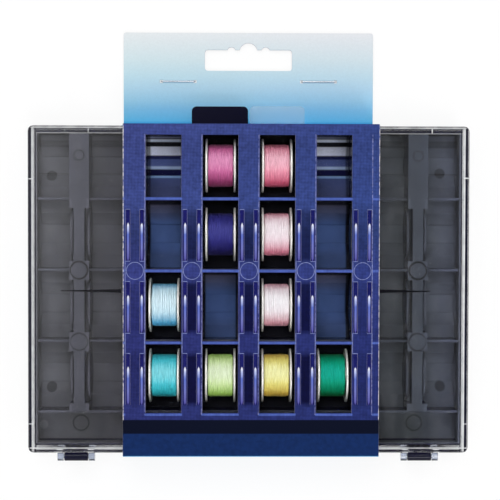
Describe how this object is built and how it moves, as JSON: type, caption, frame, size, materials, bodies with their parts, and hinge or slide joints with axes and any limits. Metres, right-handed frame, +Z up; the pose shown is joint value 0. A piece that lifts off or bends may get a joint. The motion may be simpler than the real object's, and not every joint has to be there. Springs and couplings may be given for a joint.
{
  "type": "bobbin box",
  "caption": "Shallow hinged box with a clear lid and cells for sewing-machine bobbins, some filled, wrapped in its display card.",
  "frame": {"origin": "centre of the bounding box at the height of the surface that the feet rest on", "axes": "+Z up out of the lid, +X to the right along the hinge line, +Y towards the opening tabs and the card's header"},
  "size_m": [0.1654, 0.165, 0.0264],
  "materials": {
    "navy_plastic": "moulded navy blue polystyrene, satin gloss",
    "clear_lid": "clear polystyrene with a grey reflection",
    "bobbin_metal": "bright nickel-plated steel",
    "staple_wire": "galvanised wire",
    "header_card": "coated card, off-white fading to pale blue",
    "front_card": "coated card, bright blue with a dark navy band",
    "thread_magenta": "wound sewing thread",
    "thread_rose": "wound sewing thread",
    "thread_indigo": "wound sewing thread",
    "thread_light_pink": "wound sewing thread",
    "thread_sky_blue": "wound sewing thread",
    "thread_pale_pink": "wound sewing thread",
    "thread_turquoise": "wound sewing thread",
    "thread_lime": "wound sewing thread",
    "thread_yellow": "wound sewing thread",
    "thread_green": "wound sewing thread"
  },
  "bodies": {
    "case": {"base_shell": "navy_plastic", "column_bar_1": "navy_plastic", "column_bar_2": "navy_plastic", "column_bar_3": "navy_plastic", "column_bar_4": "navy_plastic", "column_bar_5": "navy_plastic", "column_bar_6": "navy_plastic", "column_bar_7": "navy_plastic", "row_divider_1": "navy_plastic", "row_divider_2": "navy_plastic", "row_divider_3": "navy_plastic", "row_divider_4": "navy_plastic", "end_seat": "navy_plastic", "card_back_and_header": "header_card", "card_header_front": "header_card", "staple_left": "staple_wire", "staple_right": "staple_wire"},
    "lid": {"lid_shell": "clear_lid", "card_front_panel": "front_card"},
    "bobbin_magenta": {"spool_magenta": "bobbin_metal", "thread_magenta": "thread_magenta"},
    "bobbin_rose": {"spool_rose": "bobbin_metal", "thread_rose": "thread_rose"},
    "bobbin_indigo": {"spool_indigo": "bobbin_metal", "thread_indigo": "thread_indigo"},
    "bobbin_light_pink": {"spool_light_pink": "bobbin_metal", "thread_light_pink": "thread_light_pink"},
    "bobbin_sky_blue": {"spool_sky_blue": "bobbin_metal", "thread_sky_blue": "thread_sky_blue"},
    "bobbin_pale_pink": {"spool_pale_pink": "bobbin_metal", "thread_pale_pink": "thread_pale_pink"},
    "bobbin_turquoise": {"spool_turquoise": "bobbin_metal", "thread_turquoise": "thread_turquoise"},
    "bobbin_lime": {"spool_lime": "bobbin_metal", "thread_lime": "thread_lime"},
    "bobbin_yellow": {"spool_yellow": "bobbin_metal", "thread_yellow": "thread_yellow"},
    "bobbin_green": {"spool_green": "bobbin_metal", "thread_green": "thread_green"}
  },
  "joints": [
    {"name": "lid_hinge", "type": "hinge", "parent": "case", "child": "lid", "pos_m": [0, -0.08075, 0.01365], "axis": [1, 0, 0], "range_deg": [0, 180]},
    {"name": "spin_magenta", "type": "hinge", "parent": "case", "child": "bobbin_magenta", "pos_m": [-0.01066, 0.03065, 0.01365], "axis": [1, 0, 0], "continuous": true},
    {"name": "spin_rose", "type": "hinge", "parent": "case", "child": "bobbin_rose", "pos_m": [0.01066, 0.03065, 0.01365], "axis": [1, 0, 0], "continuous": true},
    {"name": "spin_indigo", "type": "hinge", "parent": "case", "child": "bobbin_indigo", "pos_m": [-0.01066, 0.00445, 0.01365], "axis": [1, 0, 0], "continuous": true},
    {"name": "spin_light_pink", "type": "hinge", "parent": "case", "child": "bobbin_light_pink", "pos_m": [0.01066, 0.00445, 0.01365], "axis": [1, 0, 0], "continuous": true},
    {"name": "spin_sky_blue", "type": "hinge", "parent": "case", "child": "bobbin_sky_blue", "pos_m": [-0.03198, -0.02255, 0.01365], "axis": [1, 0, 0], "continuous": true},
    {"name": "spin_pale_pink", "type": "hinge", "parent": "case", "child": "bobbin_pale_pink", "pos_m": [0.01066, -0.02255, 0.01365], "axis": [1, 0, 0], "continuous": true},
    {"name": "spin_turquoise", "type": "hinge", "parent": "case", "child": "bobbin_turquoise", "pos_m": [-0.03198, -0.04955, 0.01365], "axis": [1, 0, 0], "continuous": true},
    {"name": "spin_lime", "type": "hinge", "parent": "case", "child": "bobbin_lime", "pos_m": [-0.01066, -0.04955, 0.01365], "axis": [1, 0, 0], "continuous": true},
    {"name": "spin_yellow", "type": "hinge", "parent": "case", "child": "bobbin_yellow", "pos_m": [0.01066, -0.04955, 0.01365], "axis": [1, 0, 0], "continuous": true},
    {"name": "spin_green", "type": "hinge", "parent": "case", "child": "bobbin_green", "pos_m": [0.03198, -0.04955, 0.01365], "axis": [1, 0, 0], "continuous": true}
  ]
}
